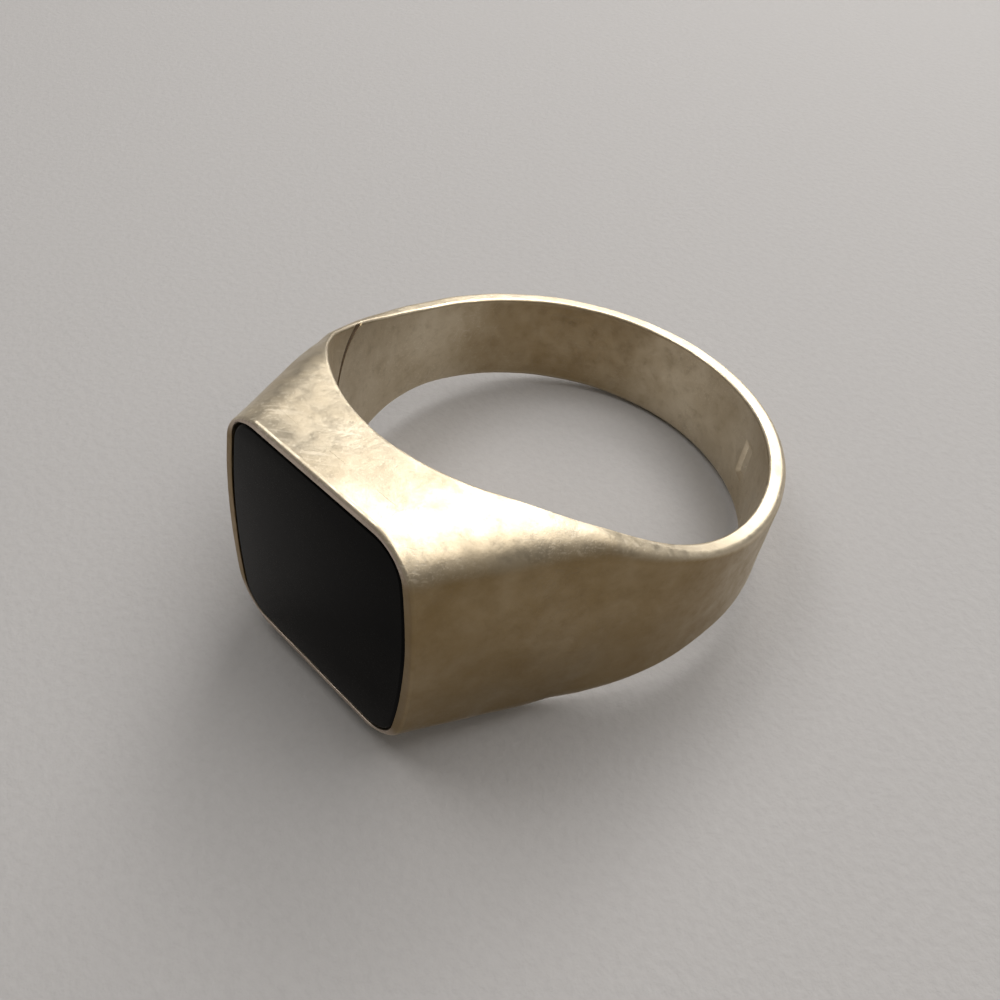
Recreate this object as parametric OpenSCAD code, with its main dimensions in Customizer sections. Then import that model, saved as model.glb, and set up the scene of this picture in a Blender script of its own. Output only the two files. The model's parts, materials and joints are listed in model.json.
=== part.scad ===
// Signet ring with a flush onyx plate, lying on its side.
// Each sub-part is drawn with the finger axis along Z and the stone facing -Y,
// then at_rest() leans the ring until its shoulders and the back of its shank touch z = 0.

/* [Finger hole] */
// Inside diameter of the ring
finger_d = 20; // [19.4:0.1:20.4]

/* [Shank] */
// Radial thickness of the band
shank_t = 0.85; // [0.75:0.05:1]
// Width of the band along the finger, at its back
shank_w = 4.8; // [4.2:0.1:5.4]
// Distance behind the finger axis where the band starts to widen
flare_y = 2.5; // [1.5:0.5:3.5]
// Share of the widening that curves inwards, before it turns outwards into the head
flare_share = 0.7; // [0.65:0.01:0.75]

/* [Head] */
// Finger axis to the stone's face
face_dist = 13.3; // [13:0.1:14]
// Width of the face at the middle of its bowed ends
face_w = 11.6; // [11.2:0.1:12]
// Height of the head along the finger
head_h = 11.4; // [11:0.1:12]
// How far the short ends of the face bow outwards
end_bow = 0.75; // [0.6:0.05:0.9]
// Radius of the face's corners
corner_r = 2; // [1.6:0.1:2.4]
// Distance in front of the finger axis where the head's flat sides begin
flat_y = 9.5; // [9:0.1:10]
// Thickness of the head's walls around its hollow
head_wall = 1.2; // [1:0.05:1.4]

/* [Setting] */
// Width of the bezel rim on the face
rim_t = 0.4; // [0.3:0.05:0.5]
// Depth of the bezel rim, back from the face
rim_depth = 1.2; // [1:0.1:1.4]
// Thickness of the onyx plate
stone_t = 1.5; // [1.3:0.1:1.6]
// Thickness of the adhesive under the onyx
cement_t = 0.1; // [0.08:0.02:0.14]
// Thickness of the plate that the onyx is bedded on
seat_t = 0.6; // [0.5:0.05:0.7]

/* [Lining] */
// Thickness of the curved plate that closes the hollow head
lining_t = 0.6; // [0.5:0.05:0.7]
// Half of the angle that the lining covers
lining_angle = 40; // [38:1:42]

/* [Joints] */
// Radius of the round tongue at each end of the shank
tongue_r = 3.5; // [3.4:0.1:3.7]
// Distance in front of the finger axis to the centre of the tongue's round end
tongue_y = 2.6; // [2.4:0.1:2.8]
// Width of the soldered joints
solder_t = 0.12; // [0.08:0.02:0.16]

/* [Blank punch mark] */
// Width of the mark around the band
mark_w = 1; // [0.8:0.1:1.4]
// Height of the mark along the finger
mark_h = 2; // [1.4:0.1:2.4]
// Depth of the mark
mark_depth = 0.12; // [0.08:0.02:0.16]
// Angle of the mark around the finger axis, from +X
mark_angle = 50; // [30:5:80]

/* [Hidden] */
$fn = 128;

far = 60;
overlap = 0.1;
gold = [0.84, 0.75, 0.55];
solder = [0.74, 0.68, 0.56];

finger_r = finger_d / 2;
shank_r = finger_r + shank_t;
head_half = head_h / 2;
shank_half = shank_w / 2;

// S-shaped widening seen from the side: two arcs, tangent where they meet.
// The outer arc crests a little above the head's flat sides, so that it meets them at an edge.
crest_over = 0.05;
crest_half = head_half + crest_over;
rise = crest_half - shank_half;
run = flare_y + flat_y;
arc_sum = (run * run + rise * rise) / (2 * rise);
dip_r = flare_share * arc_sum;
crown_r = arc_sum - dip_r;
flare_turn = asin(run / arc_sum);

// Shoulder plane seen along the finger: from the face's end to just inside the band's outside
shoulder_in = 0.06;
shoulder_reach = shank_r - shoulder_in;
face_reach = norm([face_w / 2, face_dist]);
shoulder_turn = acos(shoulder_reach / face_reach) - atan2(face_dist, face_w / 2);
shoulder_back = shank_r * sin(shoulder_turn);

// The bow and corners of the face, and the same surfaces square to the shoulder
face_arc = (head_half * head_half + end_bow * end_bow) / (2 * end_bow);
shoulder_bow = end_bow * cos(shoulder_turn);
shoulder_arc = (head_half * head_half + shoulder_bow * shoulder_bow) / (2 * shoulder_bow);

// Depths along the setting
rim_back = rim_depth - face_dist;
stone_back = stone_t - face_dist;
cement_back = stone_back + cement_t;
seat_back = cement_back + seat_t;
hollow_half = head_half - head_wall;
hollow_side = face_w / 2 - head_wall;

// Leaning pose: the table touches the back's lower edge and the lower crown arc
crown_z = crown_r - crest_half;
to_crown = [shank_r + flat_y, crown_z + shank_half];
lean = asin(crown_r / norm(to_crown)) - atan2(to_crown[1], to_crown[0]);
low_z = -shank_r * sin(lean) - shank_half * cos(lean);
front_y = -face_dist * cos(lean) - head_half * sin(lean);
back_y = shank_r * cos(lean) + shank_half * sin(lean);

module at_rest() {
    translate([0, -(front_y + back_y) / 2, -low_z])
        rotate([-lean, 0, 0])
            children();
}

// Extrudes a side view, drawn as (y, z), right across the ring
module across() {
    rotate([90, 0, 90])
        linear_extrude(height = far, center = true)
            children();
}

// Extrudes a front view, drawn as (x, z), from y_front back to y_back
module front_to_back(y_front, y_back) {
    translate([0, y_back, 0])
        rotate([90, 0, 0])
            linear_extrude(height = y_back - y_front)
                children();
}

module rect(x_low, x_high, y_low, y_high) {
    translate([x_low, y_low])
        square([x_high - x_low, y_high - y_low]);
}

// Points along an arc
function arc(centre, r, from, to, steps) = [
    for (i = [0:steps])
        let (a = from + (to - from) * i / steps)
            centre + r * [cos(a), sin(a)]
];

// Points mirrored in the first or the second axis and listed backwards, to close an outline
function back_along(points, flip) = [
    for (i = [len(points) - 1:-1:0])
        [points[i][0] * flip[0], points[i][1] * flip[1]]
];

// Side view of the ring as (y, z): band, dip arc, crown arc, flat head
module side_profile() {
    upper = concat(
        [[far, shank_half]],
        arc([flare_y, shank_half + dip_r], dip_r, -90, -90 - flare_turn, 12),
        arc([-flat_y, crest_half - crown_r], crown_r, 90 - flare_turn, 90, 8),
        [[-far, crest_half]]
    );
    polygon(concat(upper, back_along(upper, [1, -1])));
}

// Right end of a flat shape of height 2 * half that bows out to reach, with rounded corners
function bowed_end(reach, half, bow_r, r) =
    let (bow_x = reach - bow_r)
    let (round_x = bow_x + sqrt(pow(bow_r - r, 2) - pow(half - r, 2)))
    let (spread = atan2(half - r, round_x - bow_x))
    concat(
        arc([round_x, r - half], r, -90, -spread, 6),
        arc([bow_x, 0], bow_r, -spread, spread, 14),
        arc([round_x, half - r], r, spread, 90, 6)
    );

// Outline of the face, moved in by inset
module face_outline(inset) {
    right = bowed_end(face_w / 2 - inset, head_half - inset, face_arc - inset, corner_r - inset);
    polygon(concat(right, back_along(right, [-1, 1])));
}

// One half of the head, from the face back to where its shoulder meets the band
module half_head() {
    intersection() {
        rotate([0, 0, shoulder_turn])
            rotate([90, 0, 0])
                linear_extrude(height = far, center = true)
                    polygon(concat(
                        [[-far, -head_half]],
                        bowed_end(shoulder_reach, head_half, shoulder_arc, corner_r),
                        [[-far, head_half]]
                    ));
        translate([0, -face_dist, -far / 2])
            cube([far, face_dist + shoulder_back, far]);
    }
}

// Everything between two distances along Y
module y_range(y_low, y_high) {
    translate([-far / 2, y_low, -far / 2])
        cube([far, y_high - y_low, far]);
}

module finger_hole() {
    cylinder(r = finger_r, h = far, center = true);
}

// The whole metal ring before it is divided, with its front face cut flat
module ring_body() {
    difference() {
        intersection() {
            across()
                side_profile();
            union() {
                cylinder(r = shank_r, h = head_h, center = true);
                half_head();
                mirror([1, 0, 0])
                    half_head();
            }
        }
        finger_hole();
    }
}

// Region of the shank, seen from the side, grown by grow into the head
module shank_region(grow) {
    across()
        union() {
            rect(-tongue_y, far, -far, far);
            translate([-tongue_y, 0])
                circle(r = tongue_r + grow);
        }
}

// Sector of the lining's outer cylinder, centred on the head
module lining_sector(half, half_angle) {
    reach = 2 * finger_r;
    linear_extrude(height = 2 * half, center = true)
        intersection() {
            circle(r = finger_r + lining_t);
            polygon([
                [0, 0],
                [-reach * sin(half_angle), -reach * cos(half_angle)],
                [reach * sin(half_angle), -reach * cos(half_angle)]
            ]);
        }
}

// The lining plate's sector, smaller than its window by the width of the solder
module plate_sector() {
    lining_sector(hollow_half - solder_t, lining_angle - solder_t / finger_r * 180 / PI);
}

module blank_mark() {
    rotate([0, 0, mark_angle])
        translate([finger_r + mark_depth - 1, -mark_w / 2, -mark_h / 2])
            cube([1, mark_w, mark_h]);
}

// Space behind the stone's seat, which opens into the pocket in front and the window behind
module head_hollow() {
    difference() {
        translate([-hollow_side, seat_back - overlap, -hollow_half])
            cube([2 * hollow_side, finger_r, 2 * hollow_half]);
        cylinder(r = finger_r + lining_t - overlap, h = far, center = true);
    }
}

module shank() {
    color(gold)
        difference() {
            intersection() {
                ring_body();
                shank_region(0);
            }
            blank_mark();
        }
}

// Solder in both joints between the shank and the head
module joint_solder() {
    intersection() {
        ring_body();
        difference() {
            shank_region(solder_t);
            shank_region(0);
        }
    }
}

module solder_left() {
    color(solder)
        intersection() {
            joint_solder();
            translate([-far, -far / 2, -far / 2])
                cube([far, far, far]);
        }
}

module solder_right() {
    color(solder)
        intersection() {
            joint_solder();
            translate([0, -far / 2, -far / 2])
                cube([far, far, far]);
        }
}

module head_shell() {
    color(gold)
        difference() {
            intersection() {
                ring_body();
                y_range(rim_back, 0);
            }
            shank_region(solder_t);
            head_hollow();
            lining_sector(hollow_half, lining_angle);
            front_to_back(-far, seat_back)
                face_outline(rim_t);
        }
}

module lining_plate() {
    color(gold)
        difference() {
            plate_sector();
            finger_hole();
        }
}

module lining_solder() {
    color(solder)
        difference() {
            lining_sector(hollow_half, lining_angle);
            plate_sector();
            finger_hole();
        }
}

module bezel_rim() {
    color(gold)
        difference() {
            intersection() {
                ring_body();
                y_range(-face_dist, rim_back);
            }
            front_to_back(-far, 0)
                face_outline(rim_t);
        }
}

module stone_seat() {
    color(gold)
        front_to_back(cement_back, seat_back)
            face_outline(rim_t);
}

module cement_bed() {
    color([0.82, 0.78, 0.62])
        front_to_back(stone_back, cement_back)
            face_outline(rim_t);
}

module onyx_plate() {
    color([0.05, 0.05, 0.05])
        front_to_back(-face_dist, stone_back)
            face_outline(rim_t);
}

at_rest() shank();
at_rest() solder_left();
at_rest() solder_right();
at_rest() head_shell();
at_rest() lining_plate();
at_rest() lining_solder();
at_rest() bezel_rim();
at_rest() stone_seat();
at_rest() cement_bed();
at_rest() onyx_plate();
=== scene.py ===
"""Looks of a signet ring with an onyx plate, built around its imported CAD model. Blender 4.5.

Shapes are worked out in the ring's own frame, in millimetres: Z is the finger axis, the stone
faces -Y and the origin is the middle of the finger hole. to_row() puts them in the row's frame.
"""

import json
from math import acos, asin, atan2, cos, hypot, pi, radians, sin, sqrt

import bmesh
import bpy
import numpy as np
from mathutils import Matrix, Vector


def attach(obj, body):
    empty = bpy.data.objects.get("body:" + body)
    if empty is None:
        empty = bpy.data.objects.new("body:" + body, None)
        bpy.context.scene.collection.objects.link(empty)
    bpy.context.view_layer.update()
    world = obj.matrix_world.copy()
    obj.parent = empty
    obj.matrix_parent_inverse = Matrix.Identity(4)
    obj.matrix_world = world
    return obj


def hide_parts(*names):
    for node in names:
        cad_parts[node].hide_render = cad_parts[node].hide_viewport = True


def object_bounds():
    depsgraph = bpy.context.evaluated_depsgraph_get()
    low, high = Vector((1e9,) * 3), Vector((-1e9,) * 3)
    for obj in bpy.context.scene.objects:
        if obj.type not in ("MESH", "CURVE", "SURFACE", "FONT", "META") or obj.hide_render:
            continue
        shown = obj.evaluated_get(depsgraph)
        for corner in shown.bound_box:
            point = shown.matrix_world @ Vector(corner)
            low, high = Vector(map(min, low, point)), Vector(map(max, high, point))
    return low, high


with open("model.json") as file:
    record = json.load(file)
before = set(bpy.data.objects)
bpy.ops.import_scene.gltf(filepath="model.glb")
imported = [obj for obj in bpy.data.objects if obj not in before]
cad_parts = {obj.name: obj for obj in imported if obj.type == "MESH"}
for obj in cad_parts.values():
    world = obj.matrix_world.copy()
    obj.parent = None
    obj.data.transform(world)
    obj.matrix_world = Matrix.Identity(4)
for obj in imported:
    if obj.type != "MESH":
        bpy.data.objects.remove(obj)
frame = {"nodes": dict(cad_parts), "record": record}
CAD_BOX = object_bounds()
MM = 0.001

# ---------------------------------------------------------------- the ring's frame, from the record

mounts = {mount["name"]: mount for mount in frame["record"]["mounts"]}
HOLE_MIDDLE = np.array(mounts["finger_hole"]["pos_m"]) / MM
RING_Z = np.array(mounts["finger_hole"]["axis"])
RING_Y = -np.array(mounts["stone_face"]["axis"])
RING_X = np.cross(RING_Y, RING_Z)
RING_AXES = np.column_stack([RING_X, RING_Y, RING_Z])


def to_row(points):
    """Ring frame in mm to row frame in metres."""
    return (np.asarray(points) @ RING_AXES.T + HOLE_MIDDLE) * MM


def to_ring(points):
    """Row frame in metres to ring frame in mm."""
    return (np.asarray(points) / MM - HOLE_MIDDLE) @ RING_AXES


def ring_points(node):
    """A CAD node's vertices in the ring frame."""
    mesh = frame["nodes"][node].data
    co = np.zeros(len(mesh.vertices) * 3)
    mesh.vertices.foreach_get("co", co)
    return to_ring(co.reshape(-1, 3))


def ring_box(node):
    """Lowest and highest corners of a CAD node, in the ring frame."""
    points = ring_points(node)
    return points.min(0), points.max(0)


# ---------------------------------------------------------------- sizes in mm, from the CAD nodes

FINGER_R = mounts["finger_hole"]["dims"]["r_mm"]
FACE_DIST = float((HOLE_MIDDLE - np.array(mounts["stone_face"]["pos_m"]) / MM) @ RING_Y)
shank_points = ring_points("shank")
SHANK_R = float(shank_points[:, 1].max())
SHANK_HALF = float(shank_points[shank_points[:, 1] > FINGER_R / 2][:, 2].max())
rim_points = ring_points("bezel_rim")
FACE_HALF = float(rim_points[rim_points[:, 1] < 0.01 - FACE_DIST][:, 0].max())
HEAD_HALF = float(rim_points[:, 2].max())
RIM_BACK = float(rim_points[:, 1].max())
onyx_high = ring_box("onyx_plate")[1]
RIM_T = FACE_HALF - float(onyx_high[0])
STONE_BACK = float(onyx_high[1])
CEMENT_BACK = float(ring_box("cement_bed")[1][1])
SEAT_BACK = float(ring_box("stone_seat")[1][1])
plate_low, plate_high = ring_box("lining_plate")
LINING_R = -float(plate_low[1])
PLATE_HALF = float(plate_high[2])
PLATE_ANGLE = asin(float(plate_high[0]) / LINING_R)

# The rest of the CAD's shape values
FLARE_Y = 2.5
FLARE_SHARE = 0.7
FLAT_Y = 9.5
END_BOW = 0.75
CORNER_R = 2.0
HEAD_WALL = 1.2
TONGUE_R = 3.5
TONGUE_Y = 2.6
SOLDER_T = 0.12
GROWN_R = TONGUE_R + SOLDER_T
MARK_ANGLE = radians(50)
MARK_W = 1.0
MARK_H = 2.0
MARK_DEPTH = 0.12
# Well past the ring on every side
FAR = 3 * FINGER_R

# Shoulder plane, tangent to the band, then the bow and the side arcs
FACE_REACH = hypot(FACE_HALF, FACE_DIST)
SHOULDER_TURN = acos(SHANK_R / FACE_REACH) - atan2(FACE_DIST, FACE_HALF)
FACE_ARC = (HEAD_HALF**2 + END_BOW**2) / (2 * END_BOW)
SHOULDER_BOW = END_BOW * cos(SHOULDER_TURN)
SHOULDER_ARC = (HEAD_HALF**2 + SHOULDER_BOW**2) / (2 * SHOULDER_BOW)
RISE = HEAD_HALF - SHANK_HALF
RUN = FLARE_Y + FLAT_Y
ARC_SUM = (RUN**2 + RISE**2) / (2 * RISE)
DIP_R = FLARE_SHARE * ARC_SUM
CROWN_R = ARC_SUM - DIP_R
MEET_Y = FLARE_Y - FLARE_SHARE * RUN

# Edge radii of the worn ring, in mm. The outer edges widen from the band to the head.
FACE_EDGE = 0.2
BORE_EDGE = 0.15
BAND_EDGE = 0.32
HEAD_EDGE = 1.9
# Where that widening starts on each side, and where it ends
LEFT_WEAR_Y = 1.5
RIGHT_WEAR_Y = -2.0
FULL_WEAR_Y = -10.0
# How the shoulder planes run into the band
SHOULDER_BLEND = 0.15
BEHIND_CURVE = 0.05 + 1 / (2 * SHANK_R)
BEHIND_END = 1.7
# The left seam: how far the slot is raised, which widens its upper end
SEAM_RAISE = 0.28
# How far the cutters of the slots and of the hollow pass what they have to meet
PAST_MIDDLE = 0.5
HOLLOW_OVERLAP = 0.1
# How far the solder lies below the finger hole's surface
SEAM_SINK = 0.035
# Width of a rubbed edge
WEAR_REACH = 0.3
# Patina inside the band, from 0 to 1, and what a darker patch towards one direction adds to it: part
# patina, part painted dark reflection
BORE_SHELTER = 0.14
BORE_PATINA_AND_DARK_REFLECTION = 0.75
DARK_PATCH_ANGLE = radians(130)
# Share of the head's patina and painted shade on the outside of the band's back, and the least painted
# shade on the left shoulder
BACK_SHARE = 0.55
LEFT_PAINTED_SHADE = 0.42
# Mesh cell, and what counts as lying on the field's surface: distance and cosine
CELL = 0.085
ON_SURFACE = 0.015
SAME_SURFACE = 0.25
# Steeper edges than this stay sharp on the lofted pieces
SHARP_ANGLE = radians(28)

# ---------------------------------------------------------------- the metal body as a distance field


def round_max(a, b, r):
    """Where both fields hold, with the edge between them rounded to radius r."""
    ra = np.maximum(a + r, 0)
    rb = np.maximum(b + r, 0)
    return np.where((ra > 0) & (rb > 0), np.sqrt(ra * ra + rb * rb) - r, np.maximum(a, b))


def soft_max(a, b, k):
    """The larger of two values, eased over the width k where they are close."""
    h = np.maximum(k - np.abs(a - b), 0) / k
    return np.maximum(a, b) + h * h * k / 4


def ramp(value, start, end):
    """0 before start, 1 past end, and an S curve between. start may be the higher of the two."""
    t = np.clip((value - start) / (end - start), 0, 1)
    return t * t * (3 - 2 * t)


def half_width(y):
    """Half of the ring's width along the finger: the band, a dip arc, then a crown arc."""
    dip = SHANK_HALF + DIP_R - np.sqrt(np.maximum(DIP_R**2 - (y - FLARE_Y) ** 2, 0))
    crown = HEAD_HALF - CROWN_R + np.sqrt(np.maximum(CROWN_R**2 - (y + FLAT_Y) ** 2, 0))
    width = np.where(y >= FLARE_Y, SHANK_HALF, np.where(y >= MEET_Y, dip, crown))
    return np.where(y < -FLAT_Y, HEAD_HALF, width)


def width_slope(y):
    """How half_width changes with y."""
    dip_y = np.clip(y - FLARE_Y, -FLARE_SHARE * RUN, 0)
    crown_y = np.clip(y + FLAT_Y, 0, (1 - FLARE_SHARE) * RUN)
    dip = dip_y / np.sqrt(DIP_R**2 - dip_y**2)
    crown = -crown_y / np.sqrt(CROWN_R**2 - crown_y**2)
    return np.where(y >= MEET_Y, dip, crown)


def handmade(x, y, z):
    """Slight unevenness of a filed and polished surface, in mm."""
    wave = np.sin(0.9 * x + 1.3 * y + 0.4) * np.sin(1.1 * z - 0.7 * y + 1.0)
    ripple = np.sin(2.3 * x - 1.7 * z + 2.0) * np.sin(1.9 * y + 1.5 * z)
    return 0.010 * wave + 0.005 * ripple - 0.015


def outside_field(x, y, z):
    """The band's cylinder and the bowed shoulder planes that leave it. x is taken as positive."""
    band = np.hypot(x, y) - SHANK_R
    bow = SHOULDER_ARC - np.sqrt(SHOULDER_ARC**2 - np.minimum(z * z, SHOULDER_ARC**2 / 2))
    across = x * cos(SHOULDER_TURN) + y * sin(SHOULDER_TURN)
    behind = y * cos(SHOULDER_TURN) - x * sin(SHOULDER_TURN)
    shoulder = across - (SHANK_R - bow) + BEHIND_CURVE * np.maximum(behind, 0) ** 2
    shoulder = np.maximum(shoulder, behind - BEHIND_END)
    return -soft_max(-band, -shoulder, SHOULDER_BLEND)


def side_field(y, z):
    """Distance outside the ring's upper or lower side."""
    return (np.abs(z) - half_width(y)) / np.sqrt(1 + width_slope(y) ** 2)


def outer_field(p):
    """The ring's outside and its two sides, without the face plane or the finger hole."""
    x, y, z = p[..., 0], p[..., 1], p[..., 2]
    wear_y = np.where(x < 0, LEFT_WEAR_Y, RIGHT_WEAR_Y)
    edge = BAND_EDGE + (HEAD_EDGE - BAND_EDGE) * ramp(y, wear_y, FULL_WEAR_Y)
    field = round_max(outside_field(np.abs(x), y, z), side_field(y, z), edge)
    return field - handmade(x, y, z)


def body_field(p):
    """The whole metal body. Its front is left long: the face plane cuts it later."""
    bore = FINGER_R - np.hypot(p[..., 0], p[..., 1])
    return round_max(outer_field(p), bore, BORE_EDGE)


def gradient(field, p, step=0.004):
    """The field's slope at each point, from central differences."""
    grad = np.empty_like(p)
    for axis in range(3):
        shift = np.zeros(3)
        shift[axis] = step
        grad[:, axis] = (field(p + shift) - field(p - shift)) / (2 * step)
    return grad


def settle(field, p, rounds=8):
    """Moves points onto the field's zero surface."""
    for _ in range(rounds):
        grad = gradient(field, p)
        length = np.maximum((grad * grad).sum(1, keepdims=True), 0.05)
        p = p - field(p)[:, None] * grad / length
    return p


def surface_net(field, low, high, cell):
    """Quad mesh of the field's zero surface: one vertex in each cell that it crosses."""
    count = np.ceil((high - low) / cell).astype(int) + 1
    axes = [low[i] + cell * np.arange(count[i]) for i in range(3)]
    values = np.empty(count, np.float32)
    for k, z in enumerate(axes[2]):
        slab = np.empty((count[0], count[1], 3))
        slab[..., 0] = axes[0][:, None]
        slab[..., 1] = axes[1][None, :]
        slab[..., 2] = z
        values[:, :, k] = field(slab)
    inside = values < 0
    corners = [
        inside[i : count[0] - 1 + i, j : count[1] - 1 + j, k : count[2] - 1 + k]
        for i in (0, 1) for j in (0, 1) for k in (0, 1)
    ]
    mixed = np.logical_or.reduce(corners) & ~np.logical_and.reduce(corners)
    number = np.full(mixed.shape, -1, np.int64)
    cells = np.argwhere(mixed)
    number[tuple(cells.T)] = np.arange(len(cells))
    points = settle(field, low + cell * (cells + 0.5))
    quads = []
    for axis in range(3):
        u, v = (axis + 1) % 3, (axis + 2) % 3
        here = inside.take(range(count[axis] - 1), axis)
        there = inside.take(range(1, count[axis]), axis)
        for leaves in (True, False):
            edges = np.argwhere((here & ~there) if leaves else (~here & there))
            around = []
            for du, dv in ((-1, -1), (0, -1), (0, 0), (-1, 0)):
                cell_at = edges.copy()
                cell_at[:, u] += du
                cell_at[:, v] += dv
                around.append(number[tuple(cell_at.T)])
            quad = np.column_stack(around)
            quads.append(quad if leaves else quad[:, ::-1])
    return points, np.concatenate(quads)


# ---------------------------------------------------------------- mesh helpers


def new_object(name, points, faces):
    """A mesh object from ring-frame points in mm. The object sits at the origin."""
    mesh = bpy.data.meshes.new(name)
    mesh.from_pydata(to_row(points).tolist(), [], [list(map(int, face)) for face in faces])
    mesh.update()
    piece = bpy.data.objects.new(name, mesh)
    bpy.context.scene.collection.objects.link(piece)
    return piece


def mesh_points(mesh):
    """A mesh's vertices in the row frame, in metres."""
    co = np.zeros(len(mesh.vertices) * 3)
    mesh.vertices.foreach_get("co", co)
    return co.reshape(-1, 3)


def along_x(y, z, x):
    return x, y, z


def along_y(x, z, y):
    return x, y, z


def along_z(x, y, z):
    return x, y, z


def prism(outline, low, high, place):
    """Points and faces of a closed prism. place turns outline and height into x, y, z."""
    points = [place(u, v, w) for w in (low, high) for u, v in outline]
    return points, tube_faces(2, len(outline), caps=True)


def tube_faces(rings, around, caps):
    """Faces that join rings of points in order, then two caps or a band back to the first ring."""
    faces = []
    for i in range(rings - 1 if caps else rings):
        j = (i + 1) % rings
        for k in range(around):
            m = (k + 1) % around
            faces.append([i * around + k, j * around + k, j * around + m, i * around + m])
    if caps:
        faces.append(list(range(around))[::-1])
        faces.append(list(range((rings - 1) * around, rings * around)))
    return faces


def cutter(points, faces):
    """A throw-away solid whose faces are made to point outwards."""
    tool = new_object("cutter", points, faces)
    build = bmesh.new()
    build.from_mesh(tool.data)
    bmesh.ops.triangulate(build, faces=build.faces)
    bmesh.ops.recalc_face_normals(build, faces=build.faces)
    build.to_mesh(tool.data)
    build.free()
    return tool


def cut(piece, operation, *tools):
    """Applies one boolean after another to the piece's mesh, and removes the tools."""
    for tool in tools:
        modifier = piece.modifiers.new("cut", "BOOLEAN")
        modifier.operation = operation
        modifier.solver = "MANIFOLD"
        modifier.object = tool
        graph = bpy.context.evaluated_depsgraph_get()
        result = bpy.data.meshes.new_from_object(piece.evaluated_get(graph))
        piece.modifiers.clear()
        old = piece.data
        piece.data = result
        bpy.data.meshes.remove(old)
        bpy.data.objects.remove(tool)
    return piece


def copy_of(piece, name):
    """A second object with its own copy of the mesh."""
    twin = bpy.data.objects.new(name, piece.data.copy())
    bpy.context.scene.collection.objects.link(twin)
    return twin


def exact_normals(piece, field):
    """Faces that lie on the field's surface take its normals, and the others stay flat."""
    mesh = piece.data
    mesh.update()
    points = to_ring(mesh_points(mesh))
    near = np.abs(field(points)) < ON_SURFACE
    smooth = gradient(field, points)
    smooth /= np.maximum(np.linalg.norm(smooth, axis=1, keepdims=True), 1e-9)
    smooth = smooth @ RING_AXES.T
    corner = np.empty(len(mesh.loops), np.int64)
    mesh.loops.foreach_get("vertex_index", corner)
    start = np.empty(len(mesh.polygons), np.int64)
    mesh.polygons.foreach_get("loop_start", start)
    size = np.diff(np.append(start, len(corner)))
    flat = np.empty(len(mesh.polygons) * 3)
    mesh.polygons.foreach_get("normal", flat)
    flat = np.repeat(flat.reshape(-1, 3), size, axis=0)
    agrees = near[corner] & ((smooth[corner] * flat).sum(1) > SAME_SURFACE)
    on_surface = np.repeat(np.logical_and.reduceat(agrees, start), size)
    normals = np.where(on_surface[:, None], smooth[corner], flat)
    mesh.shade_smooth()
    mesh.normals_split_custom_set(normals.tolist())


def finish_piece(piece, material, slot, *nodes):
    """Gives a piece its material and puts it in place of its CAD nodes."""
    piece.data.materials.clear()
    piece.data.materials.append(material)
    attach(piece, "root")
    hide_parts(*nodes)
    return piece


# ---------------------------------------------------------------- outlines


def arc(centre, r, start, end, steps):
    """Points along an arc from one angle to another, both ends included."""
    angles = start + (end - start) * np.arange(steps + 1) / steps
    return np.column_stack([centre[0] + r * np.cos(angles), centre[1] + r * np.sin(angles)])


def face_outline(inset, steps=1):
    """Outline of the face moved in by inset, as (x, z), counter-clockwise."""
    half, r, bow_r = HEAD_HALF - inset, CORNER_R - inset, FACE_ARC - inset
    bow_x = FACE_HALF - inset - bow_r
    round_x = bow_x + sqrt((bow_r - r) ** 2 - (half - r) ** 2)
    spread = atan2(half - r, round_x - bow_x)
    right = np.concatenate([
        arc((round_x, r - half), r, -pi / 2, -spread, 14 * steps),
        arc((bow_x, 0), bow_r, -spread, spread, 24 * steps)[1:-1],
        arc((round_x, half - r), r, spread, pi / 2, 14 * steps),
    ])
    return np.concatenate([right, -right])


def side_outline(r, raised=0.0):
    """Region of the shank seen from the side, as (y, z): its round tongue and all behind it."""
    tongue = arc((-TONGUE_Y, raised), r, -pi / 2, -3 * pi / 2, 96)
    return np.concatenate([tongue, [[-TONGUE_Y, FAR], [FAR, FAR], [FAR, -FAR], [-TONGUE_Y, -FAR]]])


# ---------------------------------------------------------------- materials


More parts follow.
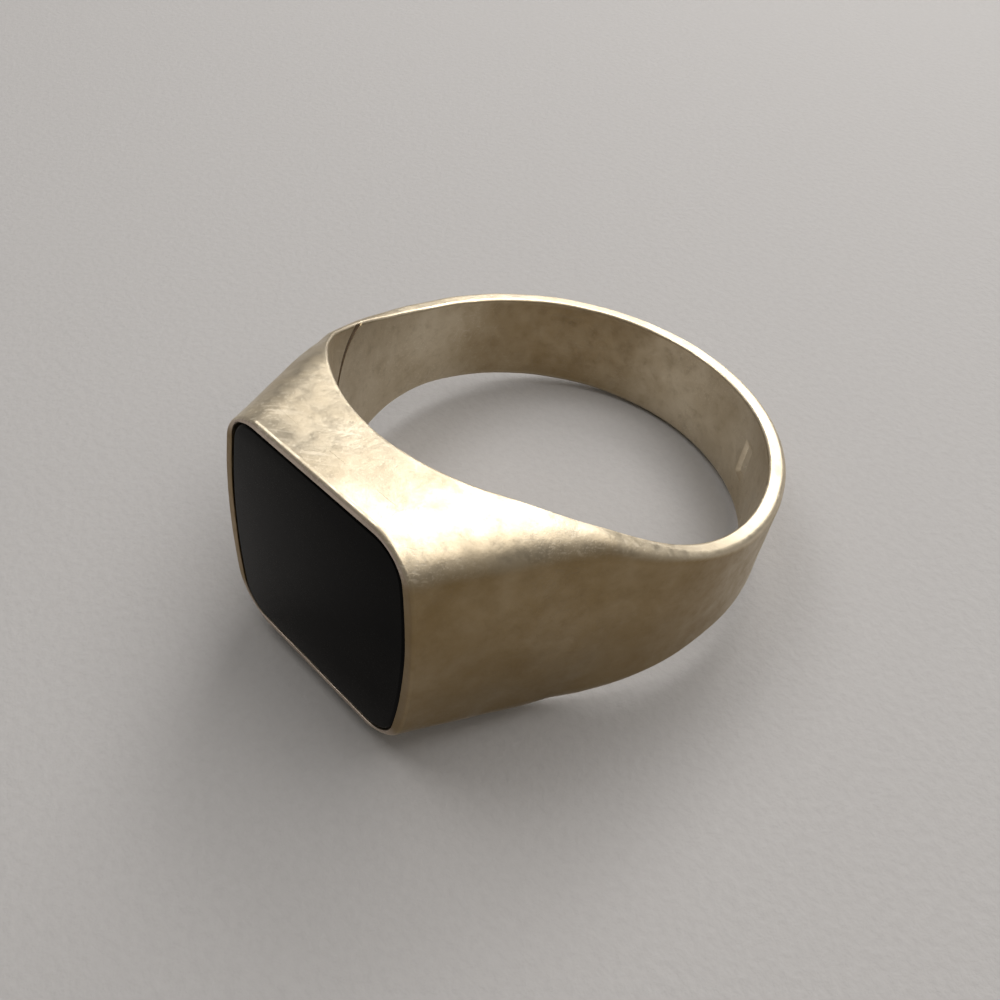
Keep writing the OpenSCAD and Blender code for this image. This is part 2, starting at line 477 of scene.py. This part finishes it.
class Nodes:
    """Short calls for building one material's node tree, in ring millimetres."""

    def __init__(self, name):
        self.material = bpy.data.materials.new(name)
        self.material.use_nodes = True
        self.tree = self.material.node_tree
        self.shader = self.tree.nodes["Principled BSDF"]
        coordinates = self.tree.nodes.new("ShaderNodeTexCoord")
        self.place = coordinates.outputs["Object"]

    def link(self, source, socket):
        self.tree.links.new(source, socket)

    def fill(self, socket, value):
        if isinstance(value, bpy.types.NodeSocket):
            self.link(value, socket)
        else:
            socket.default_value = value

    def mapped(self, scale, rotation=(0, 0, 0), offset=(0, 0, 0)):
        """Object coordinates in mm, turned and then stretched. scale is in features per mm."""
        turn = self.tree.nodes.new("ShaderNodeMapping")
        turn.vector_type = "POINT"
        turn.inputs["Rotation"].default_value = rotation
        self.link(self.place, turn.inputs["Vector"])
        stretch = self.tree.nodes.new("ShaderNodeMapping")
        stretch.vector_type = "POINT"
        stretch.inputs["Location"].default_value = offset
        stretch.inputs["Scale"].default_value = [s / MM for s in scale]
        self.link(turn.outputs["Vector"], stretch.inputs["Vector"])
        return stretch.outputs["Vector"]

    def noise(self, vector, detail=3.0, rough=0.55, distortion=0.0):
        node = self.tree.nodes.new("ShaderNodeTexNoise")
        node.inputs["Scale"].default_value = 1.0
        node.inputs["Detail"].default_value = detail
        node.inputs["Roughness"].default_value = rough
        node.inputs["Distortion"].default_value = distortion
        self.link(vector, node.inputs["Vector"])
        return node.outputs["Fac"]

    def cells(self, vector):
        node = self.tree.nodes.new("ShaderNodeTexVoronoi")
        node.feature = "F1"
        node.inputs["Scale"].default_value = 1.0
        self.link(vector, node.inputs["Vector"])
        return node.outputs["Distance"]

    def remap(self, value, low, high, to_low=0.0, to_high=1.0):
        node = self.tree.nodes.new("ShaderNodeMapRange")
        node.clamp = True
        names = ("From Min", "From Max", "To Min", "To Max")
        for name, number in zip(names, (low, high, to_low, to_high)):
            node.inputs[name].default_value = number
        self.link(value, node.inputs["Value"])
        return node.outputs["Result"]

    def math(self, operation, a, b=0.0):
        node = self.tree.nodes.new("ShaderNodeMath")
        node.operation = operation
        self.fill(node.inputs[0], a)
        self.fill(node.inputs[1], b)
        return node.outputs["Value"]

    def mix(self, factor, a, b):
        node = self.tree.nodes.new("ShaderNodeMix")
        node.data_type = "RGBA"
        self.fill(node.inputs["Factor"], factor)
        self.fill(node.inputs["A"], a)
        self.fill(node.inputs["B"], b)
        return node.outputs["Result"]

    def attribute(self, name):
        node = self.tree.nodes.new("ShaderNodeAttribute")
        node.attribute_name = name
        return node.outputs["Fac"]

    def bump(self, height, depth_mm, below=None):
        node = self.tree.nodes.new("ShaderNodeBump")
        node.inputs["Strength"].default_value = 1.0
        node.inputs["Distance"].default_value = depth_mm * MM
        self.link(height, node.inputs["Height"])
        if below is not None:
            self.link(below, node.inputs["Normal"])
        return node.outputs["Normal"]

    def scratches(self, across, along, rotation, low, high, offset):
        """Sparse fine lines: noise pulled out along one direction, cut to its peaks."""
        vector = self.mapped((across, along, across), rotation, offset)
        return self.remap(self.noise(vector, detail=1.0, rough=0.4), low, high)


def rgb(r, g, b):
    return (r, g, b, 1.0)


def worn_gold(name, clean, dull, rough_low, rough_high, grain_um, scratch_um):
    """Satin pale gold: mottled polish, fine scratches with painted glints, rubbed edges, and patina with
    painted shade where the stored share is high.
    """
    n = Nodes(name)
    mottle = n.noise(n.mapped((0.45, 0.45, 0.45), offset=(3, 1, 7)), detail=4, rough=0.6, distortion=0.2)
    patches = n.noise(n.mapped((1.6, 1.6, 1.6), offset=(9, 4, 2)), detail=5, rough=0.65)
    grain = n.noise(n.mapped((14, 14, 14)), detail=4, rough=0.6)
    long_lines = n.scratches(9, 0.35, (0.4, 0.2, 0.9), 0.62, 0.70, (1, 2, 3))
    cross_lines = n.scratches(12, 0.5, (1.1, -0.5, -0.6), 0.64, 0.71, (7, 3, 5))
    steep_lines = n.scratches(16, 0.8, (-0.7, 0.9, 0.3), 0.64, 0.70, (2, 8, 4))
    lines = n.math("MAXIMUM", long_lines, n.math("MAXIMUM", cross_lines, steep_lines))
    worn_areas = n.noise(n.mapped((0.3, 0.3, 0.3), offset=(2, 6, 4)), detail=2)
    lines = n.math("MULTIPLY", lines, n.remap(worn_areas, 0.42, 0.6, 0.15, 1.0))
    edge = n.attribute("edge")
    patina_and_painted_shade = n.attribute("patina_and_painted_shade")

    tint = n.mix(n.remap(mottle, 0.36, 0.72), rgb(*clean), rgb(*dull))
    stain = n.math("MULTIPLY", n.remap(patches, 0.52, 0.70), 0.34)
    tint = n.mix(stain, tint, rgb(*[0.72 * c for c in dull]))
    # Patina together with painted shade and painted dark reflection: dark brown where the stored share
    # is high.
    patina_and_shade_mix = n.math("MULTIPLY", patina_and_painted_shade, n.remap(mottle, 0.3, 0.7, 0.84, 0.98))
    tint = n.mix(patina_and_shade_mix, tint, rgb(0.27, 0.19, 0.09))
    tint = n.mix(n.math("MULTIPLY", edge, 0.6), tint, rgb(*[min(1.0, 1.06 * c) for c in clean]))
    # Painted glints: the scratch lines are lightened towards near white, least where patina and painted
    # shade are high.
    painted_scratch_glints = n.math("MULTIPLY", lines, n.remap(patina_and_painted_shade, 0, 1, 0.3, 0.03))
    tint = n.mix(painted_scratch_glints, tint, rgb(0.93, 0.87, 0.75))
    n.link(tint, n.shader.inputs["Base Color"])

    rough = n.remap(patches, 0.35, 0.7, rough_low, rough_high)
    rough = n.math("ADD", rough, n.math("MULTIPLY", n.remap(mottle, 0.4, 0.65), 0.07))
    rough = n.math("ADD", rough, n.math("MULTIPLY", lines, 0.12))
    rough = n.math("SUBTRACT", rough, n.math("MULTIPLY", edge, 0.05))
    n.link(rough, n.shader.inputs["Roughness"])

    normal = n.bump(mottle, 0.035)
    normal = n.bump(patches, 0.012, normal)
    normal = n.bump(grain, grain_um / 1000, normal)
    normal = n.bump(n.math("SUBTRACT", 1.0, lines), scratch_um / 1000, normal)
    n.link(normal, n.shader.inputs["Normal"])
    n.shader.inputs["Metallic"].default_value = 1.0
    return n.material


def painted_seam_shade():
    """Dark brown on the sunk side of a soldered seam: painted shade of the step."""
    n = Nodes("painted_seam_shade")
    blots = n.noise(n.mapped((6, 6, 6)), detail=4, rough=0.6)
    tint = n.mix(n.remap(blots, 0.35, 0.7), rgb(0.07, 0.042, 0.022), rgb(0.17, 0.115, 0.065))
    n.link(tint, n.shader.inputs["Base Color"])
    n.link(n.remap(blots, 0.3, 0.7, 0.45, 0.75), n.shader.inputs["Roughness"])
    n.link(n.bump(blots, 0.02), n.shader.inputs["Normal"])
    n.shader.inputs["Metallic"].default_value = 0.4
    return n.material


def black_onyx():
    """Polished black stone with faint hairlines."""
    n = Nodes("black_onyx")
    cloud = n.noise(n.mapped((0.35, 0.35, 0.35)), detail=3)
    hairlines = n.scratches(22, 0.7, (0.2, 0.5, 1.2), 0.66, 0.72, (4, 1, 9))
    cross_hairs = n.scratches(18, 0.5, (0.9, -0.3, 0.2), 0.67, 0.72, (1, 6, 2))
    lines = n.math("MAXIMUM", hairlines, cross_hairs)
    tint = n.mix(n.remap(cloud, 0.4, 0.65), rgb(0.0018, 0.0017, 0.0015), rgb(0.0034, 0.0031, 0.0027))
    n.link(tint, n.shader.inputs["Base Color"])
    rough = n.math("ADD", n.remap(cloud, 0.3, 0.7, 0.10, 0.17), n.math("MULTIPLY", lines, 0.15))
    n.link(rough, n.shader.inputs["Roughness"])
    normal = n.bump(cloud, 0.01)
    n.link(n.bump(n.math("SUBTRACT", 1.0, lines), 0.0012, normal), n.shader.inputs["Normal"])
    n.shader.inputs["IOR"].default_value = 1.54
    n.shader.inputs["Specular IOR Level"].default_value = 0.03
    return n.material


def amber_cement():
    """Cured adhesive with flow marks and small bubbles."""
    n = Nodes("amber_cement")
    flow = n.noise(n.mapped((1.4, 1.4, 1.4)), detail=3, distortion=0.8)
    bubbles = n.remap(n.cells(n.mapped((3, 3, 3))), 0.0, 0.12, 1.0, 0.0)
    tint = n.mix(n.remap(flow, 0.35, 0.7), rgb(0.56, 0.43, 0.20), rgb(0.44, 0.31, 0.12))
    tint = n.mix(n.math("MULTIPLY", bubbles, 0.5), tint, rgb(0.7, 0.6, 0.4))
    n.link(tint, n.shader.inputs["Base Color"])
    n.link(n.remap(flow, 0.3, 0.7, 0.3, 0.45), n.shader.inputs["Roughness"])
    n.link(n.bump(n.math("ADD", flow, bubbles), 0.02), n.shader.inputs["Normal"])
    return n.material


GOLD = worn_gold("worn_gold", (0.74, 0.65, 0.495), (0.60, 0.51, 0.365), 0.29, 0.47, 1.2, 1.3)
RIM_GOLD = worn_gold("rim_gold", (0.62, 0.52, 0.43), (0.50, 0.41, 0.34), 0.38, 0.52, 2.0, 2.5)
SOLDER = worn_gold("solder_gold", (0.66, 0.56, 0.41), (0.54, 0.45, 0.31), 0.28, 0.40, 2.5, 2.5)
SEAM_SHADE = painted_seam_shade()
ONYX = black_onyx()
CEMENT = amber_cement()


def store(piece, name, values):
    """Keeps one number for each vertex, for the materials to read."""
    attribute = piece.data.attributes.new(name, "FLOAT", "POINT")
    attribute.data.foreach_set("value", np.asarray(values, np.float32))


def mark_wear(piece):
    """Stores each vertex's place on the worn ring: near a rubbed edge, and how much patina and painted
    shade it takes.
    """
    points = to_ring(mesh_points(piece.data))
    x, y, z = points.T
    radius = np.hypot(x, y)
    skin = np.minimum(np.abs(outside_field(np.abs(x), y, z)), np.abs(radius - FINGER_R))
    edge = np.clip(1 - np.hypot(side_field(y, z), skin) / WEAR_REACH, 0, 1) ** 1.5
    # Painted dark reflection with some patina: metal that faces outwards rather than along the finger is
    # darkened, the band's back less, and the left shoulder gets painted shade.
    lean = gradient(outer_field, points)
    lean = np.abs(lean[:, 2]) / np.maximum(np.linalg.norm(lean, axis=1), 1e-9)
    patina_and_painted_shade = 1 - ramp(lean, 0.25, 0.75)
    patina_and_painted_shade *= BACK_SHARE + (1 - BACK_SHARE) * ramp(y, 3, -3)
    left_shoulder = ramp(x, -4, -8) * ramp(y, 0, -2)
    patina_and_painted_shade = np.maximum(patina_and_painted_shade, LEFT_PAINTED_SHADE * left_shoulder)
    # Inside the band: even patina, plus a darker patch towards one direction that is part patina and
    # part painted dark reflection.
    bore = radius < FINGER_R + BORE_EDGE / 2
    towards_dark_patch = (x * cos(DARK_PATCH_ANGLE) + y * sin(DARK_PATCH_ANGLE)) / FINGER_R
    patina_and_painted_shade[bore] = BORE_SHELTER + BORE_PATINA_AND_DARK_REFLECTION * ramp(towards_dark_patch[bore], 0.75, 1)
    # Painted highlight: the stamped mark's floor takes the full bright edge colour and no patina or
    # shade.
    stamped = (np.abs(radius - FINGER_R - MARK_DEPTH) < MARK_DEPTH / 2) & (np.abs(z) < MARK_H / 2)
    edge[stamped] = 1
    patina_and_painted_shade[stamped] = 0
    store(piece, "edge", edge)
    store(piece, "patina_and_painted_shade", patina_and_painted_shade)


def mark_unworn(piece):
    """Stores the same two numbers for a piece that nothing rubs."""
    count = len(piece.data.vertices)
    store(piece, "edge", np.zeros(count))
    store(piece, "patina_and_painted_shade", np.ones(count))


# ---------------------------------------------------------------- shank, solder and head shell


def shank_cutter(x_low, x_high, r=TONGUE_R, raised=0.0):
    """The shank's region from x_low to x_high, with a tongue of radius r."""
    return cutter(*prism(side_outline(r, raised), x_low, x_high, along_x))


def left_slot():
    """The left slot in the head, raised so that the seam is widest at the upper edge."""
    return shank_cutter(-FAR, PAST_MIDDLE, GROWN_R, SEAM_RAISE)


def box_cutter(low, high):
    flat = [(low[0], low[1]), (high[0], low[1]), (high[0], high[1]), (low[0], high[1])]
    return cutter(*prism(flat, low[2], high[2], along_z))


def round_cutter(r):
    """A cylinder of radius r round the finger's axis."""
    return cutter(*prism(arc((0, 0), r, 0, 2 * pi, 360)[:-1], -FAR, FAR, along_z))


def window_cutter(r, half_angle, half):
    """A sector out to radius r, as wide as the lining plate's window in the head."""
    front = -pi / 2
    sector = [[[0, 0]], arc((0, 0), r, front - half_angle, front + half_angle, 120)]
    return cutter(*prism(np.concatenate(sector), -half, half, along_z))


def front_trimmed(p):
    """The body, ended by a plane inside the rim's depth, which the later cut removes."""
    end_y = (RIM_BACK - FACE_DIST) / 2
    return np.maximum(body_field(p), end_y - p[..., 1])


def make_body():
    """The whole metal body in one piece, which the shank, the solder and the head are cut from."""
    margin = 4 * CELL
    low = np.array([-SHANK_R - margin, -FACE_DIST, -HEAD_HALF - margin])
    high = np.array([SHANK_R, SHANK_R, HEAD_HALF]) + margin
    return new_object("body", *surface_net(front_trimmed, low, high, CELL))


def mark_cutter():
    """The blank punch: a rounded rectangle with sloping walls, sunk into the band from inside."""
    around = arc((0, 0), 1, 0, 2 * pi, 48)[:-1]
    quarter = np.sign(around)
    half_size = np.array([MARK_W, MARK_H]) / 2
    # Distance from the finger's axis, corner radius, and how far the sides stand out
    levels = [
        (FINGER_R - 0.5, 0.22, 0.16),
        (FINGER_R, 0.20, 0.04),
        (FINGER_R + MARK_DEPTH, 0.12, -0.24),
    ]
    outwards = np.array([cos(MARK_ANGLE), sin(MARK_ANGLE), 0])
    sideways = np.array([-sin(MARK_ANGLE), cos(MARK_ANGLE), 0])
    finger = np.array([0, 0, 1])
    rings = []
    for radius, corner, grow in levels:
        flat = quarter * (half_size + grow - corner) + around * corner
        rings.append(radius * outwards + np.outer(flat[:, 0], sideways) + np.outer(flat[:, 1], finger))
    return cutter(np.concatenate(rings), tube_faces(len(levels), len(around), caps=True))


def make_shank():
    """The band, with its two round tongues and the blank punch inside."""
    shank = cut(copy_of(body, "shank_worn"), "INTERSECT", shank_cutter(-FAR, FAR))
    cut(shank, "DIFFERENCE", mark_cutter())
    exact_normals(shank, body_field)
    mark_wear(shank)
    return finish_piece(shank, GOLD, "gold", "shank")


def make_solder(name, node, slot_cutter, x_low, x_high):
    """The solder that fills a slot round its tongue, with painted shade where it lies sunk inside the
    ring.
    """
    solder = cut(copy_of(body, name), "INTERSECT", slot_cutter)
    cut(solder, "DIFFERENCE", shank_cutter(-FAR, FAR), round_cutter(FINGER_R + SEAM_SINK))
    cut(solder, "INTERSECT", box_cutter((x_low, -FAR, -FAR), (x_high, 0, FAR)))
    exact_normals(solder, outer_field)
    mark_wear(solder)
    finish_piece(solder, GOLD, "solder", node)
    solder.data.materials.append(SEAM_SHADE)
    centres = to_ring(np.array([face.center for face in solder.data.polygons]))
    sunk = np.hypot(centres[:, 0], centres[:, 1]) < FINGER_R + 2 * SEAM_SINK
    sunk &= np.abs(centres[:, 2]) < half_width(centres[:, 1]) - BORE_EDGE
    solder.data.polygons.foreach_set("material_index", sunk.astype(np.int32))
    return solder


def make_head_shell():
    """The head and both shoulders, with slots for the tongues, the stone's well and the hollow."""
    head = copy_of(body, "head_shell_worn")
    cut(head, "DIFFERENCE", left_slot(), shank_cutter(-PAST_MIDDLE, FAR, GROWN_R))
    cut(head, "DIFFERENCE", box_cutter((-FAR, -FAR, -FAR), (FAR, RIM_BACK, FAR)))
    cut(head, "DIFFERENCE", cutter(*prism(face_outline(RIM_T), -FAR, SEAT_BACK, along_y)))
    side, half = FACE_HALF - HEAD_WALL, HEAD_HALF - HEAD_WALL
    hollow = box_cutter((-side, SEAT_BACK - HOLLOW_OVERLAP, -half), (side, -FINGER_R / 2, half))
    cut(hollow, "DIFFERENCE", round_cutter(LINING_R - HOLLOW_OVERLAP))
    window = window_cutter(LINING_R, PLATE_ANGLE + SOLDER_T / FINGER_R, PLATE_HALF + SOLDER_T)
    cut(head, "DIFFERENCE", hollow, window)
    exact_normals(head, body_field)
    mark_wear(head)
    return finish_piece(head, GOLD, "gold", "head_shell")


body = make_body()
make_shank()
make_solder("solder_left_worn", "solder_left", left_slot(), -FAR, 0)
make_solder("solder_right_worn", "solder_right", shank_cutter(-FAR, FAR, GROWN_R), 0, FAR)
make_head_shell()
bpy.data.objects.remove(body)


# ---------------------------------------------------------------- rim, stone and what is under it


def loft(name, rows, normals=None, caps=False):
    """Rings of points, joined in order. They end in caps, or the last ring joins the first."""
    rows = np.array(rows)
    count, around = rows.shape[:2]
    piece = new_object(name, rows.reshape(-1, 3), tube_faces(count, around, caps))
    build = bmesh.new()
    build.from_mesh(piece.data)
    bmesh.ops.recalc_face_normals(build, faces=build.faces)
    build.to_mesh(piece.data)
    build.free()
    piece.data.shade_smooth()
    if normals is None:
        piece.data.set_sharp_from_angle(angle=SHARP_ANGLE)
    else:
        turned = np.array(normals).reshape(-1, 3) @ RING_AXES.T
        piece.data.normals_split_custom_set_from_vertices(turned.tolist())
    return piece


def at_depth(outline, y):
    """(x, z) points or directions with y as their middle value."""
    return np.column_stack([outline[:, 0], np.full(len(outline), y), outline[:, 1]])


def outward(outline):
    """Unit normals of a closed outline, as (x, z)."""
    along = np.roll(outline, -1, 0) - np.roll(outline, 1, 0)
    normal = np.column_stack([along[:, 1], -along[:, 0]])
    return normal / np.linalg.norm(normal, axis=1, keepdims=True)


def wall_outline(directions, y):
    """Where the metal body's outside lies at depth y, along directions from the face's middle.

    It is searched for by halving, between 0.7 and 1.15 of each direction's length.
    """
    low = np.full(len(directions), 0.7)
    high = np.full(len(directions), 1.15)
    for _ in range(30):
        middle = (low + high) / 2
        outside = outer_field(at_depth(directions * middle[:, None], y)) > 0
        high = np.where(outside, middle, high)
        low = np.where(outside, low, middle)
    return directions * low[:, None]


def make_bezel_rim():
    """The wall round the stone: its outside is the body's, its front is rounded, its inside filed."""
    outline = face_outline(0, 2)
    front = FACE_EDGE - FACE_DIST
    rows, normals = [], []
    for y in np.linspace(RIM_BACK, front, 9):
        wall = at_depth(wall_outline(outline, y), y)
        slope = gradient(outer_field, wall)
        rows.append(wall)
        normals.append(slope / np.linalg.norm(slope, axis=1, keepdims=True))
    edge_wall = rows[-1][:, [0, 2]]
    out = outward(edge_wall)
    for turn in np.linspace(0, pi / 2, 7)[1:]:
        ring = edge_wall - out * FACE_EDGE * (1 - cos(turn))
        rows.append(at_depth(ring, front - FACE_EDGE * sin(turn)))
        normals.append(at_depth(out * cos(turn), -sin(turn)))
    inner = inner_outline()
    inward = -outward(inner)
    lip = 0.035
    for turn in np.linspace(pi / 2, 0, 5):
        ring = inner - inward * lip * (1 - cos(turn))
        rows.append(at_depth(ring, lip * (1 - sin(turn)) - FACE_DIST))
        normals.append(at_depth(inward * cos(turn), -sin(turn)))
    rows.append(at_depth(inner, RIM_BACK))
    normals.append(at_depth(inward, 0))
    rim = loft("bezel_rim_worn", rows, normals)
    mark_wear(rim)
    finish_piece(rim, GOLD, "rim_gold", "bezel_rim")
    rim.data.materials.append(RIM_GOLD)
    depths = to_ring(np.array([face.center for face in rim.data.polygons]))[:, 1]
    narrow_front = depths < front - 0.8 * FACE_EDGE
    rim.data.polygons.foreach_set("material_index", narrow_front.astype(np.int32))
    return rim


def inner_outline():
    """The rim's inner edge: filed by hand, with a small gap where the stone's corner stands off."""
    inner = face_outline(RIM_T, 2)
    around = np.arctan2(inner[:, 1], inner[:, 0])
    filed = 0.012 + 0.0108 * np.sin(5 * around + 1) + 0.0072 * np.sin(11 * around)
    gap_x, gap_z = 0.9 - FACE_HALF, HEAD_HALF - 0.95
    gap_depth, gap_reach = 0.07, 0.7
    away = np.hypot(inner[:, 0] - gap_x, inner[:, 1] - gap_z) / gap_reach
    return inner + outward(inner) * (filed + gap_depth * np.exp(-away * away))[:, None]


def stacked(outline, y_front, profile):
    """Rings of points for a loft. The profile says how far in and how far back each one lies."""
    out = outward(outline)
    return [at_depth(outline - out * inset, y_front + behind) for inset, behind in profile]


def make_onyx():
    """The stone: a polished face a hair behind the rim's, a rounded chamfer and straight sides."""
    side_gap, sink = 0.02, 0.01
    chamfer_w, chamfer_d, easing, back_edge = 0.13, 0.0806, 0.02, 0.05
    face_y = sink - FACE_DIST
    depth = STONE_BACK - face_y
    profile = [
        (chamfer_w + easing, 0),
        (chamfer_w, 0.003),
        (0.012, chamfer_d),
        (0, chamfer_d + easing),
        (0, depth - back_edge),
        (back_edge, depth),
    ]
    rows = stacked(face_outline(RIM_T + side_gap, 2), face_y, profile)
    stone = loft("onyx_plate_polished", rows, caps=True)
    return finish_piece(stone, ONYX, "onyx", "onyx_plate")


def make_slab(name, node, slot, material, y_front, y_back, inset):
    """A flat filling piece of the setting, with slightly rounded edges."""
    depth = y_back - y_front
    soft = depth / 4
    profile = [(soft, 0), (0, soft), (0, depth - soft), (soft, depth)]
    rows = stacked(face_outline(RIM_T + inset), y_front, profile)
    return finish_piece(loft(name, rows, caps=True), material, slot, node)


make_bezel_rim()
make_onyx()
make_slab("cement_bed_cured", "cement_bed", "cement", CEMENT, STONE_BACK, CEMENT_BACK, 0.03)
make_slab("stone_seat_plate", "stone_seat", "gold", SOLDER, CEMENT_BACK, SEAT_BACK, 0.01)


# ---------------------------------------------------------------- lining plate and its solder


def curved_slab(angle, half, r_in, r_out, soft, steps):
    """Cross-sections of a curved plate along its arc. soft rounds its two long inner edges."""
    section = np.concatenate([
        arc((r_in + soft, soft - half), soft, -pi, -pi / 2, 4),
        [(r_out, -half), (r_out, half)],
        arc((r_in + soft, half - soft), soft, pi / 2, pi, 4),
    ])
    radius, z = section.T
    angles = -pi / 2 + np.linspace(-angle, angle, steps)
    return [np.column_stack([radius * cos(a), radius * sin(a), z]) for a in angles]


def make_lining():
    """The curved plate that closes the hollow head towards the finger."""
    rows = curved_slab(PLATE_ANGLE, PLATE_HALF, FINGER_R + 0.004, LINING_R, 0.06, 97)
    lining = loft("lining_plate_worn", rows, caps=True)
    mark_unworn(lining)
    return finish_piece(lining, GOLD, "gold", "lining_plate")


def make_lining_solder():
    """The narrow frame of solder round the lining plate, all in painted seam shade."""
    angle, half = PLATE_ANGLE + SOLDER_T / FINGER_R, PLATE_HALF + SOLDER_T
    rows = curved_slab(angle, half, FINGER_R + 0.03, LINING_R, 0.02, 99)
    solder = loft("lining_solder_seam", rows, caps=True)
    cut(solder, "DIFFERENCE", window_cutter(FAR, PLATE_ANGLE, PLATE_HALF))
    solder.data.set_sharp_from_angle(angle=SHARP_ANGLE)
    mark_unworn(solder)
    return finish_piece(solder, SEAM_SHADE, "solder", "lining_solder")


make_lining()
make_lining_solder()


# ---------------------------------------------------------------- floor, lights and camera


def pale_floor():
    """A matt pale floor with a faint grain."""
    n = Nodes("pale_floor")
    grain = n.noise(n.mapped((2.5, 2.5, 2.5)), detail=5)
    tint = n.mix(n.remap(grain, 0.35, 0.65), rgb(0.375, 0.366, 0.362), rgb(0.39, 0.381, 0.377))
    n.link(tint, n.shader.inputs["Base Color"])
    n.shader.inputs["Roughness"].default_value = 0.85
    n.link(n.bump(grain, 0.05), n.shader.inputs["Normal"])
    return n.material


def make_floor():
    half = 1.5
    corners = [(-half, -half, 0), (half, -half, 0), (half, half, 0), (-half, half, 0)]
    mesh = bpy.data.meshes.new("floor")
    mesh.from_pydata(corners, [], [[0, 1, 2, 3]])
    mesh.materials.append(pale_floor())
    floor = bpy.data.objects.new("floor", mesh)
    bpy.context.scene.collection.objects.link(floor)


def soft_light(name, azimuth, elevation, distance, size, watts, colour):
    """A rectangular soft box. azimuth is degrees from the back of the ring (+Y) towards -X."""
    light = bpy.data.lights.new(name, "AREA")
    light.shape = "RECTANGLE"
    light.size, light.size_y = size
    light.energy = watts
    light.color = colour
    lamp = bpy.data.objects.new(name, light)
    bpy.context.scene.collection.objects.link(lamp)
    a, e = radians(azimuth), radians(elevation)
    away = Vector((-sin(a) * cos(e), cos(a) * cos(e), sin(e)))
    target = Vector((0, 0, CAD_BOX[1][2] / 2))
    lamp.location = target + away * distance
    lamp.rotation_euler = away.to_track_quat("Z", "Y").to_euler()


def make_world(colour, strength):
    """Even light from all round."""
    world = bpy.data.worlds.new("studio")
    world.use_nodes = True
    background = world.node_tree.nodes["Background"]
    background.inputs["Color"].default_value = rgb(*colour)
    background.inputs["Strength"].default_value = strength
    bpy.context.scene.world = world


def make_camera():
    """The viewpoint, given around the ring's own frame: how far round, how high and how turned."""
    around, above, roll = radians(38.81), radians(41.46), radians(9.34)
    distance, shift_right, shift_up = 43.3, -2.05, -2.23
    focal_px, picture_px = 915.0, 1000
    back = np.array([sin(around) * cos(above), -cos(around) * cos(above), sin(above)])
    level = np.array([cos(around), sin(around), 0.0])
    upward = np.cross(back, level)
    right = cos(roll) * level + sin(roll) * upward
    up = -sin(roll) * level + cos(roll) * upward
    eye = to_row(back * distance + right * shift_right + up * shift_up)
    axes = np.column_stack([RING_AXES @ right, RING_AXES @ up, RING_AXES @ back])
    camera = bpy.data.objects.new("camera", bpy.data.cameras.new("camera"))
    bpy.context.scene.collection.objects.link(camera)
    camera.matrix_world = Matrix.Translation(eye) @ Matrix(axes.tolist()).to_4x4()
    camera.data.sensor_width = 36
    camera.data.lens = camera.data.sensor_width * focal_px / picture_px
    camera.data.clip_start = 0.001
    bpy.context.scene.camera = camera


WHITE = (1.0, 0.98, 0.96)
WARM = (1.0, 0.96, 0.91)
WARMEST = (1.0, 0.93, 0.84)

make_floor()
soft_light("key", 26, 42, 0.35, (0.13, 0.12), 0.38, WHITE)
soft_light("panel", -20, 60, 0.35, (0.29, 0.19), 0.70, WHITE)
soft_light("brow", -80, 48, 0.40, (0.18, 0.17), 0.22, WARMEST)
soft_light("edge", 12, 28, 0.40, (0.18, 0.06), 0.11, WHITE)
soft_light("strip", 22, 11, 0.40, (0.18, 0.09), 0.15, WHITE)
soft_light("low", 58, 22, 0.40, (0.14, 0.12), 0.02, WARM)
soft_light("left", 95, 60, 0.40, (0.22, 0.16), 0.46, WHITE)
make_world(WARM, 0.20)
bpy.context.scene.view_settings.view_transform = "Standard"
make_camera()
